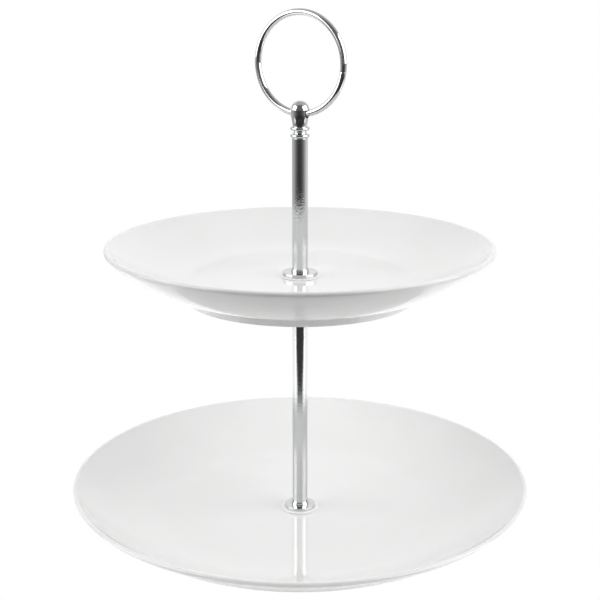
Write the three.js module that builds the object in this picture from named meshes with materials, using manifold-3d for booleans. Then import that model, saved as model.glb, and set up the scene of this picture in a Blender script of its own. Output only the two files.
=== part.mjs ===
// Two-tier cake stand: two glazed plates threaded on a chrome column, with a ring to carry it by.
// Millimetres, +Z up, origin on the table under the middle of the stand.

import * as THREE from 'three';
import { mergeVertices } from 'three/addons/utils/BufferGeometryUtils.js';
import Module from 'manifold-3d';

const wasm = await Module();
wasm.setup();

// ---------------------------------------------------------------- driving dimensions

// Clearances
const seatGap = 0.1; // between faces that are clamped together or pressed into each other
const threadGap = 0.2; // radial, between a male thread and its tapped hole
const holeGap = 0.5; // radial, between the M5 thread and the hole of a washer or flange
const wireGap = 0.15; // radial, between the ring's wire and its hole through the knob

// Plates, each measured up from the bottom of its own foot
const lowerPlate = {
  rimRadius: 127.2,
  rimHeight: 30.4, // middle of the rolled rim
  wellHeight: 10.7, // top face of the flat well
  wellRadius: 72,
  footRadius: 77,
  footHeight: 2.8,
  wallSlope: 10, // degrees, outer wall where it leaves the foot
  wallReach: 0.27, // how far the outer wall keeps its low slope, as a share of its run
};
const upperPlate = {
  rimRadius: 104.5,
  rimHeight: 27.3,
  wellHeight: 10,
  wellRadius: 58,
  footRadius: 63.5,
  footHeight: 3.65,
  wallSlope: 15,
  wallReach: 0.53,
};
const rimRoll = 1.53; // radius of the rolled rim's section
const footWidth = 3.2;
const footDraft = 1.4; // how much wider the foot is at its top than at its bottom
const plateThickness = 5; // at the middle
const plateHoleRadius = 4;
const rimSlope = 62; // degrees, outer wall where it meets the rim
const bowlSlope = 45; // degrees, inner wall where it meets the rim
const rimReach = 0.04; // share of the outer wall's run that keeps the rim's slope
const wellEase = 0.32; // share of the inner wall's run that stays near level
const bowlReach = 0.3; // share of the inner wall's run that keeps the rim's slope

// Column and handle tubes
const tubeRadius = 4.25;
const tubeWall = 0.75;
const tubeEdge = 0.35; // bevel at the tube's ends
const columnLength = 125.6;
const handleLength = 72.2;
const bushLength = 10;

// M5 thread
const threadRadius = 2.4;
const threadPitch = 0.8;
const threadEdge = 0.5; // bevel at a thread's ends
const threadTurns = 10; // turns of engagement of the handle's stud and of the base screw

// Flanges and washers
const lowerFlange = { radius: 8.5, thickness: 1.4 };
const upperFlange = { radius: 9.55, thickness: 1.7 };
const flangeEdge = 0.2;
const softWasher = { radius: 10.3, thickness: 1 };
const steelWasher = { radius: 10, thickness: 1.2 };

// Base screw
const screwHeadRadius = 4.7;
const screwHeadHeight = 2.2;
const screwHeadEdge = 0.9;
const crossWidth = 1.1;
const crossLength = 4.6;
const crossDepth = 1.3;

// Knob and ring
const beadRadius = 5.15;
const beadHeight = 1.9;
const waistRadius = 3.8;
const waistHeight = 1.9;
const neckRadius = 3.9;
const acornRadius = 4.95;
const acornTaper = 8.6; // height over which the acorn widens from its neck
const acornDome = 4.95; // height of its rounded top
const spigotLength = 6;
const ringHoleBelowDome = 1.85; // from the acorn's widest place down to the cross hole's axis
const ringRadius = 27.65; // outside
const wireRadius = 1.75;
const ringTurn = -31.5; // degrees about +Z that the handle stands turned
const ringJointAngle = -8; // degrees, place of the wire's butt joint round the ring
const ringJointGap = 0.3;

// Facets
const plateFacets = 52;
const discFacets = 28;
const tubeFacets = 20;
const knobFacets = 24;
const threadFacets = 16;
const wireFacets = 12;
const ringSteps = 48;

// ---------------------------------------------------------------- sizes that follow

const boreRadius = threadRadius + threadGap;
const washerHoleRadius = threadRadius + holeGap;
const bushRadius = tubeRadius - tubeWall - seatGap;
const engagement = threadTurns * threadPitch;

// Heights up the stack, from the table
const lowerWellTop = lowerPlate.wellHeight;
const lowerUnderside = lowerWellTop - plateThickness;
const lowerTopWasherBase = lowerWellTop + seatGap;
const lowerFlangeBase = lowerTopWasherBase + softWasher.thickness + seatGap;
const columnBase = lowerFlangeBase + lowerFlange.thickness + seatGap;
const columnTop = columnBase + columnLength;
const lowerBottomWasherBase = lowerUnderside - seatGap - softWasher.thickness;
const steelWasherBase = lowerBottomWasherBase - seatGap - steelWasher.thickness;
const screwHeadTop = steelWasherBase - seatGap;
const bottomFlangeBase = columnTop + seatGap;
const upperBottomWasherBase = bottomFlangeBase + upperFlange.thickness + seatGap;
const upperUnderside = upperBottomWasherBase + softWasher.thickness + seatGap;
const upperWellTop = upperUnderside + plateThickness;
const upperFootBase = upperWellTop - upperPlate.wellHeight;
const upperTopWasherBase = upperWellTop + seatGap;
const topFlangeBase = upperTopWasherBase + softWasher.thickness + seatGap;
const handleBase = topFlangeBase + upperFlange.thickness + seatGap;
const knobBase = handleLength + seatGap; // from the handle's own base

// Up the knob, from its own base
const acornBase = 2 * beadHeight + waistHeight;
const acornMiddle = acornBase + acornTaper;
const knobTop = acornMiddle + acornDome;
const ringHoleHeight = acornMiddle - ringHoleBelowDome;
const ringMiddleRadius = ringRadius - wireRadius;

// ---------------------------------------------------------------- shape tools

const radians = THREE.MathUtils.degToRad;

/** Point on a circle, as [radius, height]. */
function onArc(centreR, centreZ, radius, degrees) {
  const angle = radians(degrees);
  return [centreR + radius * Math.cos(angle), centreZ + radius * Math.sin(angle)];
}

/** Points round an arc of a section, both ends included. */
function arc(centreR, centreZ, radius, from, to, steps) {
  const points = [];
  for (let i = 0; i <= steps; i += 1) {
    points.push(onArc(centreR, centreZ, radius, from + ((to - from) * i) / steps));
  }
  return points;
}

/** Points along a cubic curve between two ends of a section, its two ends left out. */
function curveBetween(start, startHandle, endHandle, end, steps) {
  const curve = new THREE.CubicBezierCurve(
    new THREE.Vector2(...start),
    new THREE.Vector2(...startHandle),
    new THREE.Vector2(...endHandle),
    new THREE.Vector2(...end),
  );
  return curve.getPoints(steps).slice(1, -1).map((point) => point.toArray());
}

/** Solid turned about +Z from a section of [radius, height] points, anticlockwise round the metal. */
function turned(section, facets) {
  const points = section.map(([radius, height]) => new THREE.Vector2(radius, height));
  return new THREE.LatheGeometry(points, facets).rotateX(Math.PI / 2);
}

/** Section that closes on itself, for a turned piece with a hole through it. */
function closed(section) {
  return [...section, section[0]];
}

/** Flat round piece with a hole through it, standing on height 0. */
function disc(outerRadius, innerRadius, thickness, edge) {
  const section = [
    [innerRadius, 0],
    [outerRadius - edge, 0],
    [outerRadius, edge],
    [outerRadius, thickness - edge],
    [outerRadius - edge, thickness],
    [innerRadius, thickness],
  ];
  return turned(closed(section), discFacets);
}

/** Manifold solid of a closed geometry. */
function toSolid(geometry) {
  const bare = geometry.clone();
  bare.deleteAttribute('normal');
  bare.deleteAttribute('uv');
  const welded = mergeVertices(bare);
  const vertProperties = welded.getAttribute('position').array;
  const triVerts = Uint32Array.from(welded.index.array);
  return new wasm.Manifold(new wasm.Mesh({ numProp: 3, vertProperties, triVerts }));
}

/** Geometry of a manifold solid. */
function toGeometry(solid) {
  const { vertProperties, triVerts } = solid.getMesh();
  const geometry = new THREE.BufferGeometry();
  geometry.setAttribute('position', new THREE.BufferAttribute(vertProperties, 3));
  geometry.setIndex(new THREE.BufferAttribute(triVerts, 1));
  geometry.computeVertexNormals();
  return geometry;
}

// ---------------------------------------------------------------- pieces

/** Coupe plate on a foot ring, with a hole in the middle, standing on height 0. */
function plate(size) {
  const underside = size.wellHeight - plateThickness;
  const footTop = [size.footRadius + footDraft, size.footHeight];
  const rollCentreR = size.rimRadius - rimRoll;
  const rollStart = rimSlope - 90;
  const rollEnd = bowlSlope + 90;
  const rimUnder = onArc(rollCentreR, size.rimHeight, rimRoll, rollStart);
  const rimInner = onArc(rollCentreR, size.rimHeight, rimRoll, rollEnd);
  const wallRun = rimUnder[0] - footTop[0];
  const bowlRun = rimInner[0] - size.wellRadius;
  const wellEdge = [size.wellRadius, size.wellHeight];

  const wallHandle = onArc(...footTop, wallRun * size.wallReach, size.wallSlope);
  const rimHandle = onArc(...rimUnder, wallRun * rimReach, rimSlope - 180);
  const outerWall = curveBetween(footTop, wallHandle, rimHandle, rimUnder, 6);

  const bowlHandle = onArc(...rimInner, bowlRun * bowlReach, bowlSlope - 180);
  const wellHandle = [size.wellRadius + bowlRun * wellEase, size.wellHeight];
  const innerWall = curveBetween(rimInner, bowlHandle, wellHandle, wellEdge, 7);

  const section = [
    [plateHoleRadius, underside],
    [size.footRadius - footWidth - footDraft, underside],
    [size.footRadius - footWidth, 0],
    [size.footRadius, 0],
    footTop,
    ...outerWall,
    rimUnder,
    ...arc(rollCentreR, size.rimHeight, rimRoll, 0, rollEnd, 4),
    ...innerWall,
    wellEdge,
    [plateHoleRadius, size.wellHeight],
  ];
  return turned(closed(section), plateFacets);
}

/** Thin-walled tube with bevelled ends, standing on height 0. */
function tube(length) {
  const innerRadius = tubeRadius - tubeWall;
  const section = [
    [innerRadius, 0],
    [tubeRadius - tubeEdge, 0],
    [tubeRadius, tubeEdge],
    [tubeRadius, length - tubeEdge],
    [tubeRadius - tubeEdge, length],
    [innerRadius, length],
  ];
  return turned(closed(section), tubeFacets);
}

/** Tapped bush that is pressed into a tube's end, standing on height 0. */
function bush() {
  const section = [
    [boreRadius, 0],
    [bushRadius, 0],
    [bushRadius, bushLength],
    [boreRadius, bushLength],
  ];
  return turned(closed(section), tubeFacets);
}

/** Headless M5 stud, from height 0 up. */
function stud(length) {
  const section = [
    [0, 0],
    [threadRadius - threadEdge, 0],
    [threadRadius, threadEdge],
    [threadRadius, length - threadEdge],
    [threadRadius - threadEdge, length],
    [0, length],
  ];
  return turned(section, threadFacets);
}

/** M5 pan-head screw with a cross recess, its head hanging below height 0. */
function baseScrew(shankLength) {
  const roundCentre = screwHeadRadius - screwHeadEdge;
  const head = [
    [0, -screwHeadHeight],
    ...arc(roundCentre, screwHeadEdge - screwHeadHeight, screwHeadEdge, -90, 0, 3),
    [screwHeadRadius, 0],
    [threadRadius, 0],
    [threadRadius, shankLength - threadEdge],
    [threadRadius - threadEdge, shankLength],
    [0, shankLength],
  ];
  const slot = new THREE.BoxGeometry(crossLength, crossWidth, 2 * crossDepth);
  slot.translate(0, 0, -screwHeadHeight);
  const crossSlot = slot.clone().rotateZ(Math.PI / 2);
  const recess = toSolid(slot).add(toSolid(crossSlot));
  return toGeometry(toSolid(turned(head, tubeFacets)).subtract(recess));
}

/** Rounded bead of the knob between two heights. */
function bead(base) {
  const half = beadHeight / 2;
  const steps = 4;
  const points = [];
  for (let i = 0; i <= steps; i += 1) {
    const angle = Math.PI * (i / steps - 0.5);
    const swell = (beadRadius - waistRadius) * Math.cos(angle);
    points.push([waistRadius + swell, base + half * (1 + Math.sin(angle))]);
  }
  return points;
}

/** Acorn knob on two beads, with a bell-mouthed cross hole along X and a spigot below height 0. */
function knob() {
  const acornSide = curveBetween(
    [neckRadius, acornBase],
    [neckRadius, acornBase + acornTaper / 3],
    [acornRadius, acornMiddle - acornTaper / 2],
    [acornRadius, acornMiddle],
    6,
  );
  const dome = [];
  const domeSteps = 7;
  for (let i = 0; i <= domeSteps; i += 1) {
    const angle = (Math.PI / 2) * (i / domeSteps);
    const radius = i === domeSteps ? 0 : acornRadius * Math.cos(angle);
    dome.push([radius, acornMiddle + acornDome * Math.sin(angle)]);
  }
  const section = [
    [0, -spigotLength],
    [bushRadius, -spigotLength],
    [bushRadius, 0],
    ...bead(0),
    ...bead(beadHeight + waistHeight),
    [neckRadius, acornBase],
    ...acornSide,
    ...dome,
  ];

  // The hole widens outwards as the ring's curve leaves its axis, whichever way the ring leans.
  const reach = acornRadius + 1;
  const mouthSteps = 6;
  const mouth = [[0, -reach]];
  for (let i = -mouthSteps; i <= mouthSteps; i += 1) {
    const along = (reach * i) / mouthSteps;
    const drift = along ** 2 / (2 * ringMiddleRadius);
    mouth.push([wireRadius + wireGap + drift, along]);
  }
  mouth.push([0, reach]);
  const hole = turned(mouth, tubeFacets).rotateY(Math.PI / 2).translate(0, 0, ringHoleHeight);
  return toGeometry(toSolid(turned(section, knobFacets)).subtract(toSolid(hole)));
}

/** Line of the ring's wire in the XZ plane, lowest at the origin, open at the butt joint. */
class RingLine extends THREE.Curve {
  getPoint(t) {
    const opening = ringJointGap / ringMiddleRadius;
    const angle = radians(ringJointAngle) + opening / 2 + t * (2 * Math.PI - opening);
    const x = ringMiddleRadius * Math.cos(angle);
    const z = ringMiddleRadius * (1 + Math.sin(angle));
    return new THREE.Vector3(x, 0, z);
  }
}

/** Wire bent round into a ring. */
function ring() {
  const section = new THREE.Shape();
  for (let i = 0; i < wireFacets; i += 1) {
    const [x, y] = onArc(0, 0, wireRadius, (360 * i) / wireFacets);
    if (i === 0) section.moveTo(x, y);
    else section.lineTo(x, y);
  }
  section.closePath();
  return new THREE.ExtrudeGeometry(section, { extrudePath: new RingLine(), steps: ringSteps });
}

// ---------------------------------------------------------------- finishes

/** Material maker for one finish. */
function finish(color, roughness, metalness) {
  return () => new THREE.MeshStandardMaterial({ color, roughness, metalness });
}

const porcelain = finish(0xf4f4f2, 0.08, 0);
const chrome = finish(0xd9dbdd, 0.06, 1);
const softWhite = finish(0xfbfbfa, 0.35, 0);
const zinc = finish(0xb9bdc2, 0.35, 1);
const brass = finish(0xc9a55c, 0.35, 1);

// ---------------------------------------------------------------- assembly

/** Named piece with its own material at a height in its group. */
function piece(name, geometry, makeMaterial, height) {
  const mesh = new THREE.Mesh(geometry, makeMaterial());
  mesh.name = name;
  mesh.position.z = height;
  return mesh;
}

/** White washer, one of the four that keep metal off the glaze. */
function softWasherPiece(name, height) {
  const { radius, thickness } = softWasher;
  return piece(name, disc(radius, washerHoleRadius, thickness, flangeEdge), softWhite, height);
}

/** Chrome flange, one of the three that show. */
function flangePiece(name, size, height) {
  const shape = disc(size.radius, washerHoleRadius, size.thickness, flangeEdge);
  return piece(name, shape, chrome, height);
}

/** Lower plate with the washers against it. */
function base() {
  const group = new THREE.Group();
  group.add(
    piece('lower_plate', plate(lowerPlate), porcelain, 0),
    softWasherPiece('lower_top_washer', lowerTopWasherBase),
    softWasherPiece('lower_bottom_washer', lowerBottomWasherBase),
  );
  return group;
}

/** Column from the base screw's head up to the flange that carries the upper plate. */
function column() {
  const group = new THREE.Group();
  const shankLength = columnBase + engagement - screwHeadTop;
  const steelDisc = disc(steelWasher.radius, washerHoleRadius, steelWasher.thickness, flangeEdge);
  group.add(
    piece('base_screw', baseScrew(shankLength), zinc, screwHeadTop),
    piece('base_steel_washer', steelDisc, zinc, steelWasherBase),
    flangePiece('lower_top_flange', lowerFlange, lowerFlangeBase),
    piece('column_tube', tube(columnLength), chrome, columnBase),
    piece('column_bottom_bush', bush(), brass, columnBase),
    piece('column_top_bush', bush(), brass, columnTop - bushLength),
    flangePiece('upper_bottom_flange', upperFlange, bottomFlangeBase),
  );
  return group;
}

/** Upper plate with the washers against it. */
function upperTier() {
  const group = new THREE.Group();
  group.add(
    piece('upper_plate', plate(upperPlate), porcelain, upperFootBase),
    softWasherPiece('upper_bottom_washer', upperBottomWasherBase),
    softWasherPiece('upper_top_washer', upperTopWasherBase),
  );
  return group;
}

/** Handle above the upper plate, in a group of its own that stands turned about the column. */
function handle() {
  const group = new THREE.Group();
  const studBase = columnTop - engagement - handleBase;
  group.position.z = handleBase;
  group.rotation.z = radians(ringTurn);
  group.add(
    piece('handle_tube', tube(handleLength), chrome, 0),
    piece('handle_bush', bush(), brass, 0),
    piece('handle_stud', stud(engagement - studBase), zinc, studBase),
    piece('finial_knob', knob(), chrome, knobBase),
    piece('ring_handle', ring(), chrome, knobBase + ringHoleHeight),
  );
  return group;
}

const stand = new THREE.Group();
stand.add(
  base(),
  column(),
  upperTier(),
  flangePiece('upper_top_flange', upperFlange, topFlangeBase),
  handle(),
);

export default stand;
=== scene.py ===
"""Two-tier cake stand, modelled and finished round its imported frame.

Two glazed plates are threaded on a chrome column and carried by a wire ring.
Lengths are metres, +Z is up and the origin is on the table under the stand.
"""

import logging
import math
from dataclasses import dataclass, field
from enum import Enum
from itertools import pairwise
from typing import Callable, ClassVar, Sequence

import bpy
from bpy.types import Material, Node, NodeSocket, NodeTree, Object
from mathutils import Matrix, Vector


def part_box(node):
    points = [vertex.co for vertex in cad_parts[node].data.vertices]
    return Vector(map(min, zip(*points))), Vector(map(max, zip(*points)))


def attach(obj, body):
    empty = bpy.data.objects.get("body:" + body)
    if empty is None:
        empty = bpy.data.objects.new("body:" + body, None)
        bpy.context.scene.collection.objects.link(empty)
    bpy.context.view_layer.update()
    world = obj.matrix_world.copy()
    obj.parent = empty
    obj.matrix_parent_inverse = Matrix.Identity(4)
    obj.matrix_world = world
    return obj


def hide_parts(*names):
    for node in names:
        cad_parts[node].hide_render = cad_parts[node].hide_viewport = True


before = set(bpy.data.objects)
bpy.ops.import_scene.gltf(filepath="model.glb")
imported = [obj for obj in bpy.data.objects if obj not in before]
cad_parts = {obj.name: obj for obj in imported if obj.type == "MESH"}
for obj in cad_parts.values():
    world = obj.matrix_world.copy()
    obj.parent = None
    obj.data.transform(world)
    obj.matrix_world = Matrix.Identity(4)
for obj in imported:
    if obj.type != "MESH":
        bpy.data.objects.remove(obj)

log = logging.getLogger("cake_stand")

Point = tuple[float, float]
Stops = tuple[Point, ...]
Colour = tuple[float, float, float, float]

MM = 0.001
FULL_TURN = 2 * math.pi
WHITE = (1.0, 1.0, 1.0, 1.0)

SMOOTH_BELOW = math.radians(32)  # edges flatter than this shade smooth
WELD = 0.002 * MM  # points closer than this become one
EDGE_HOLD = 0.15 * MM  # how far the points that keep a flat face flat lie from its ends
LONG_FLAT = 1.0 * MM  # shortest stretch that gets them
SEAT_GAP = 0.1 * MM  # gap that the frame leaves between clamped faces
CLEARANCE_HOLE = 2.9 * MM  # radius of the holes that the threads pass through
RING_TURN = -31.5  # degrees by which the ring and the knob's hole stand turned


class Body(str, Enum):
    """Rigid bodies of the frame that pieces ride on."""

    BASE = "base"
    COLUMN = "column"
    UPPER_TIER = "upper_tier"
    COLLAR = "collar"
    HANDLE = "handle"
    RING = "ring"


class Slot(str, Enum):
    """Material slots of the record."""

    PORCELAIN = "porcelain"
    CHROME = "chrome"
    SOFT_WHITE = "soft_white"
    ZINC = "zinc"
    BRASS = "brass"


# ---- outlines


def on_arc(centre: Point, radius: float, degrees: float) -> Point:
    """Gives one point of a circle in the section plane.

    Args:
        centre: Radius and height of the circle's middle.
        radius: Radius of the circle.
        degrees: Angle from the outward direction, anticlockwise.

    Returns:
        The point as radius and height.
    """
    angle = math.radians(degrees)
    return centre[0] + radius * math.cos(angle), centre[1] + radius * math.sin(angle)


def arc(centre: Point, radius: float, start: float, end: float, steps: int) -> list[Point]:
    """Gives the points along an arc, both ends included.

    Args:
        centre: Radius and height of the arc's middle.
        radius: Radius of the arc.
        start: First angle in degrees.
        end: Last angle in degrees.
        steps: Number of chords.

    Returns:
        The points in order.
    """
    return [on_arc(centre, radius, start + (end - start) * i / steps) for i in range(steps + 1)]


def curve(ends: Sequence[Point], steps: int) -> list[Point]:
    """Gives the inner points of a cubic curve.

    Args:
        ends: Start, start handle, end handle and end.
        steps: Number of chords.

    Returns:
        The points in order, without the two ends.
    """
    points = []
    for i in range(1, steps):
        t = i / steps
        weights = ((1 - t) ** 3, 3 * (1 - t) ** 2 * t, 3 * (1 - t) * t * t, t**3)
        points.append(tuple(sum(w * end[axis] for w, end in zip(weights, ends)) for axis in (0, 1)))
    return points


def rounded(corner: Point, radius: float, start: float, steps: int = 4) -> list[Point]:
    """Gives the quarter round that takes the place of a square outer corner.

    Args:
        corner: The square corner.
        radius: Radius of the round.
        start: Angle in degrees at which the round begins; it runs 90 degrees on.
        steps: Number of chords.

    Returns:
        The points in order.
    """
    middle = math.radians(start + 45)
    side = (math.copysign(1, math.cos(middle)), math.copysign(1, math.sin(middle)))
    centre = (corner[0] - side[0] * radius, corner[1] - side[1] * radius)
    return arc(centre, radius, start, start + 90, steps)


def sleeve(radii: Point, heights: Point, edges: Point, steps: tuple[int, int]) -> list[Point]:
    """Draws the section of a plain ring with rounded edges.

    Args:
        radii: Its inner and its outer radius.
        heights: Its lower and its upper face.
        edges: Radius of its inner and of its outer edges.
        steps: Number of chords of an inner and of an outer edge.

    Returns:
        Points as radius and height.
    """
    (inner, outer), (low, high) = radii, heights
    return [
        *rounded((inner, low), edges[0], 180, steps[0]),
        *rounded((outer, low), edges[1], -90, steps[1]),
        *rounded((outer, high), edges[1], 0, steps[1]),
        *rounded((inner, high), edges[0], 90, steps[0]),
    ]


# ---- modelling


def deselect() -> None:
    """Leaves object mode ready with nothing selected."""
    active = bpy.context.view_layer.objects.active
    if active and active.mode != "OBJECT":
        bpy.ops.object.mode_set(mode="OBJECT")
    bpy.ops.object.select_all(action="DESELECT")


def added(name: str, operator: Callable, **settings: object) -> Object:
    """Adds an object with one of Blender's operators and names it.

    Args:
        name: Name of the new object.
        operator: The operator that adds it.
        settings: What the operator is told.

    Returns:
        The object.
    """
    deselect()
    operator(**settings)
    bpy.context.object.name = name
    return bpy.context.object


def select_only(piece: Object) -> None:
    """Makes a piece the only selected object and the active one.

    Args:
        piece: The piece.
    """
    deselect()
    piece.select_set(True)
    bpy.context.view_layer.objects.active = piece


def edit_all() -> None:
    """Enters edit mode on the active piece with all of it selected."""
    bpy.ops.object.mode_set(mode="EDIT")
    bpy.ops.mesh.select_all(action="SELECT")


def settle(piece: Object) -> Object:
    """Welds a piece, turns its faces outwards and puts its place into its mesh.

    Args:
        piece: The piece to finish.

    Returns:
        The same piece, at the origin, unturned and unscaled.
    """
    select_only(piece)
    bpy.ops.object.transform_apply(location=True, rotation=True, scale=True)
    edit_all()
    bpy.ops.mesh.remove_doubles(threshold=WELD)
    bpy.ops.mesh.normals_make_consistent(inside=False)
    bpy.ops.mesh.select_all(action="DESELECT")
    bpy.ops.object.mode_set(mode="OBJECT")
    bpy.ops.object.shade_smooth_by_angle(angle=SMOOTH_BELOW)
    return piece


def hold_flats(section: Sequence[Point]) -> list[Point]:
    """Adds a point near each end of a long straight stretch, so that it shades flat.

    Args:
        section: Points as radius and height.

    Returns:
        The same section with the extra points.
    """
    points = [section[0]]
    for here, there in pairwise(section):
        run = math.dist(here, there)
        if run > LONG_FLAT:
            for share in (EDGE_HOLD / run, 1 - EDGE_HOLD / run):
                points.append(tuple(a + (b - a) * share for a, b in zip(here, there)))
        points.append(there)
    return points


def draw_section(name: str, section: Sequence[Point]) -> Object:
    """Draws a section as a chain of edges in the XZ plane.

    Args:
        name: Name of the new object.
        section: Points as radius and height.

    Returns:
        The object, left in edit mode with the whole chain selected.
    """
    (radius, height), *others = section
    piece = added(name, bpy.ops.mesh.primitive_plane_add, size=MM, location=(radius, 0, height))
    piece.data.name = name
    bpy.ops.object.mode_set(mode="EDIT")
    bpy.ops.mesh.select_mode(type="VERT")
    bpy.ops.mesh.merge(type="CENTER")
    for point in others:
        step = (point[0] - radius, 0, point[1] - height)
        bpy.ops.mesh.extrude_vertices_move(TRANSFORM_OT_translate={"value": step})
        radius, height = point
    bpy.ops.mesh.select_all(action="SELECT")
    return piece


def turn(name: str, section: Sequence[Point], steps: int, through: bool) -> Object:
    """Turns a section about the column's axis, as on a lathe.

    Args:
        name: Name of the new piece.
        section: Points as radius and height, anticlockwise round the material.
        steps: Number of faces round the piece.
        through: True if the piece has a hole along its axis, so its section closes on itself.

    Returns:
        The finished piece.
    """
    chain = [*section, section[0]] if through else list(section)
    piece = draw_section(name, hold_flats(chain))
    bpy.ops.mesh.spin(steps=steps, angle=FULL_TURN, center=(0, 0, 0), axis=(0, 0, 1))
    return settle(piece)


class Cut(str, Enum):
    """Ways in which one solid works on another."""

    TAKE_AWAY = "DIFFERENCE"
    KEEP_SHARED = "INTERSECT"
    JOIN = "UNION"


def cut(piece: Object, tool: Object, way: Cut) -> None:
    """Works on one solid with another, then removes the other.

    Args:
        piece: The solid that is worked on.
        tool: The solid that it is worked with.
        way: What is kept.
    """
    select_only(piece)
    bpy.ops.object.modifier_add(type="BOOLEAN")
    boolean = piece.modifiers[-1]
    boolean.operation = way.value
    boolean.solver = "EXACT"
    boolean.object = tool
    bpy.ops.object.modifier_apply(modifier=boolean.name)
    select_only(tool)
    bpy.ops.object.delete()
    settle(piece)


# ---- wiring of materials


class Wiring:
    """A node tree with short calls to place nodes and join them."""

    def __init__(self, tree: NodeTree) -> None:
        """Starts on a tree.

        Args:
            tree: The tree to wire, emptied first.
        """
        self.tree = tree
        tree.nodes.clear()

    def add(self, kind: str, settings: dict | None = None, **inputs: object) -> Node:
        """Places a node.

        Args:
            kind: The node's type without its ShaderNode prefix, or its full name.
            settings: Attributes of the node to set.
            inputs: Input sockets by name, an underscore for a space, each a value or a socket.

        Returns:
            The new node.
        """
        node = self.tree.nodes.new(kind if kind.startswith("Node") else f"ShaderNode{kind}")
        for name, value in (settings or {}).items():
            setattr(node, name, value)
        for name, value in inputs.items():
            self.feed(node, name.replace("_", " "), value)
        return node

    def feed(self, node: Node, start: str | int, *values: object) -> Node:
        """Sets inputs to values, or joins them to output sockets.

        Args:
            node: The node that is fed.
            start: Name or number of the input; more values go to the numbers after it.
            values: A plain value or an output socket for each input.

        Returns:
            The same node.
        """
        for offset, value in enumerate(values):
            socket = node.inputs[start + offset if offset else start]
            if isinstance(value, NodeSocket):
                self.tree.links.new(value, socket)
            else:
                socket.default_value = value
        return node

    def math(self, operation: str, first: object, second: object = 0.0) -> NodeSocket:
        """Places a sum of one or two values and gives its output."""
        return self.feed(self.add("Math", {"operation": operation}), 0, first, second).outputs[0]

    def scaled(self, vector: NodeSocket, factor: NodeSocket) -> NodeSocket:
        """Places a product of a vector or colour and a factor and gives its output."""
        return self.add("VectorMath", {"operation": "SCALE"}, Vector=vector, Scale=factor).outputs[0]

    def noise(self, vector: object, scale: object, detail: float) -> NodeSocket:
        """Places a noise texture and gives its value output."""
        return self.add("TexNoise", Vector=vector, Scale=scale, Detail=detail).outputs["Fac"]

    def blend(self, share: object, first: object, second: object) -> NodeSocket:
        """Mixes two colours by the share of the second and gives the mixed colour."""
        return self.feed(self.add("Mix", {"data_type": "RGBA"}, Factor=share), 6, first, second).outputs[2]

    def either(self, share: object, first: Node, second: Node) -> Node:
        """Mixes two shaders by the share of the second and gives the mixing node."""
        return self.feed(self.add("MixShader", Fac=share), 1, first.outputs[0], second.outputs[0])

    def spread(self, value: object, ends: Point, to: Point = (0.0, 1.0)) -> NodeSocket:
        """Maps a range of values smoothly onto another, held at its ends.

        Args:
            value: The socket to map.
            ends: Values that give the two new ends.
            to: The new ends.

        Returns:
            The mapped output.
        """
        node = self.add("MapRange", {"interpolation_type": "SMOOTHSTEP"}, Value=value)
        for side, number in zip(("From Min", "From Max", "To Min", "To Max"), (*ends, *to)):
            node.inputs[side].default_value = number
        return node.outputs["Result"]

    def ramp(self, value: object, stops: Stops) -> NodeSocket:
        """Maps values from 0 to 1 onto greys.

        Args:
            value: The socket to map.
            stops: Place and brightness of each stop.

        Returns:
            The grey.
        """
        node = self.add("ValToRGB", Fac=value)
        elements = node.color_ramp.elements
        while len(elements) < len(stops):
            elements.new(0.5)
        for element, (place, light) in zip(elements, stops):
            element.position = place
            element.color = (light, light, light, 1)
        return node.outputs["Color"]

    def bearing(self, spot: Node) -> NodeSocket:
        """Tells how far round from the -Y side a place lies: 0 on that side, 1 on the other.

        Args:
            spot: Node that puts out the place's X and Y.

        Returns:
            The bearing, alike on the left and on the right.
        """
        toward = self.math("MULTIPLY", spot.outputs["Y"], -1.0)
        around = self.math("ABSOLUTE", self.math("ARCTAN2", spot.outputs["X"], toward))
        return self.math("DIVIDE", around, math.pi)

    def surface(self, shader: Node, output: str = "OutputMaterial") -> None:
        """Joins a shader to the surface of the material, or of the world."""
        self.feed(self.add(output), "Surface", shader.outputs[0])


def start_material(name: str) -> tuple[Material, Wiring, NodeSocket]:
    """Starts an empty material.

    Args:
        name: Name of the material.

    Returns:
        The material, its wiring and the socket of object coordinates.
    """
    material = bpy.data.materials.new(name)
    material.use_nodes = True
    wire = Wiring(material.node_tree)
    return material, wire, wire.add("TexCoord").outputs["Object"]


def new_group(name: str, inputs: dict[str, str], outputs: dict[str, str]) -> tuple[NodeTree, Wiring, Node]:
    """Starts a shader group with named sockets.

    Args:
        name: Name of the group.
        inputs: Socket types by input name.
        outputs: Socket types by output name.

    Returns:
        The group, its wiring and the node that gives its inputs.
    """
    group = bpy.data.node_groups.new(name, "ShaderNodeTree")
    for side, sockets in (("INPUT", inputs), ("OUTPUT", outputs)):
        for socket, kind in sockets.items():
            group.interface.new_socket(name=socket, in_out=side, socket_type=f"NodeSocket{kind}")
    wire = Wiring(group)
    return group, wire, wire.add("NodeGroupInput")


def handling_group() -> NodeTree:
    """Builds the group of faint smudges and hairlines that handling leaves on a polished face.

    Returns:
        A group from Vector, Polish, Smudge and Scale to Roughness and Height.
    """
    hairline_fineness = 24.0
    group, wire, given = new_group(
        "handling_marks",
        {"Vector": "Vector", "Polish": "Float", "Smudge": "Float", "Scale": "Float"},
        {"Roughness": "Float", "Height": "Float"},
    )
    place, scale = given.outputs["Vector"], given.outputs["Scale"]
    patches = wire.spread(wire.noise(place, scale, 3.0), (0.45, 0.75))
    smudge = wire.math("MULTIPLY", patches, given.outputs["Smudge"])
    fine = wire.noise(place, wire.math("MULTIPLY", scale, hairline_fineness), 4.0)
    grain = wire.math("MULTIPLY", fine, smudge)
    rough = wire.math("ADD", given.outputs["Polish"], grain)
    wire.add("NodeGroupOutput", Roughness=rough, Height=fine)
    return group


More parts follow.
